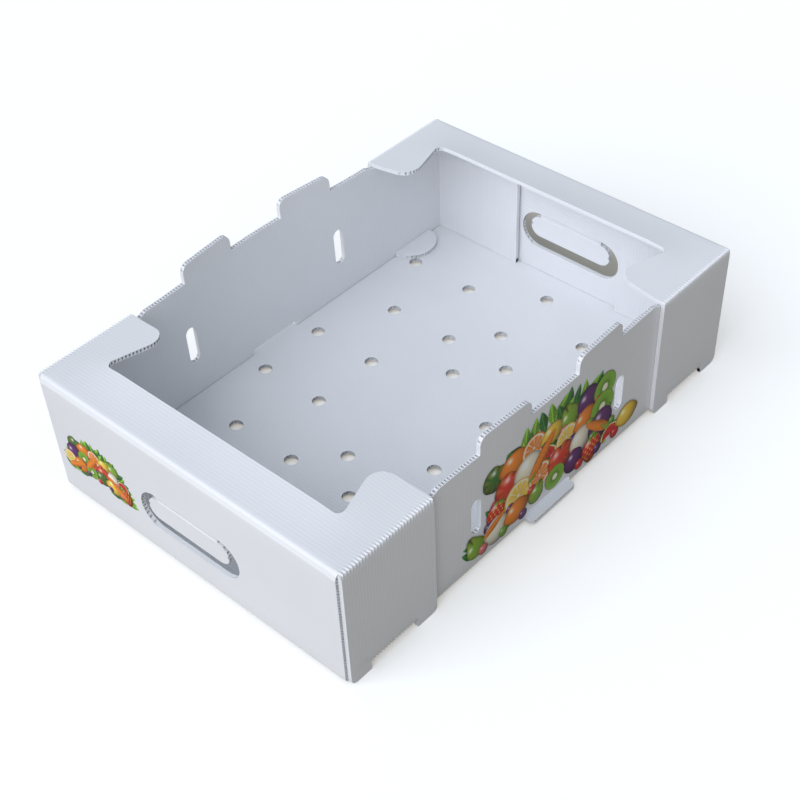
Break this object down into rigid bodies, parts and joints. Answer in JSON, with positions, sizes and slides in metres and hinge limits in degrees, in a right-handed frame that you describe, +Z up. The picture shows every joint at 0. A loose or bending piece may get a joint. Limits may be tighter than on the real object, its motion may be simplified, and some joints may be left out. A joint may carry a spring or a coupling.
{
  "type": "corrugated plastic crate",
  "caption": "Open produce tray folded from one sheet of fluted plastic board, with ledges, side flaps locked by tongues, vents and push-in finger flaps.",
  "frame": {"origin": "centre of the tray's outline, at the level of its feet", "axes": "+X along the tray from the near end to the far end, +Y across it to the back long wall, +Z up"},
  "size_m": [0.5, 0.3484, 0.144],
  "materials": {
    "fluted_board": "white translucent polypropylene with a satin face and faint flute lines"
  },
  "bodies": {
    "sheet": {"folded_sheet": "fluted_board"},
    "near_flap": {"near_finger_flap": "fluted_board"},
    "far_flap": {"far_finger_flap": "fluted_board"}
  },
  "joints": [
    {"name": "near_finger_flap_hinge", "type": "hinge", "parent": "sheet", "child": "near_flap", "pos_m": [-0.248, 0, 0.0712], "axis": [0, -1, 0], "range_deg": [0, 85], "stiffness_Nm_per_rad": 0.03},
    {"name": "far_finger_flap_hinge", "type": "hinge", "parent": "sheet", "child": "far_flap", "pos_m": [0.248, 0, 0.0712], "axis": [0, 1, 0], "range_deg": [0, 85], "stiffness_Nm_per_rad": 0.03}
  ]
}
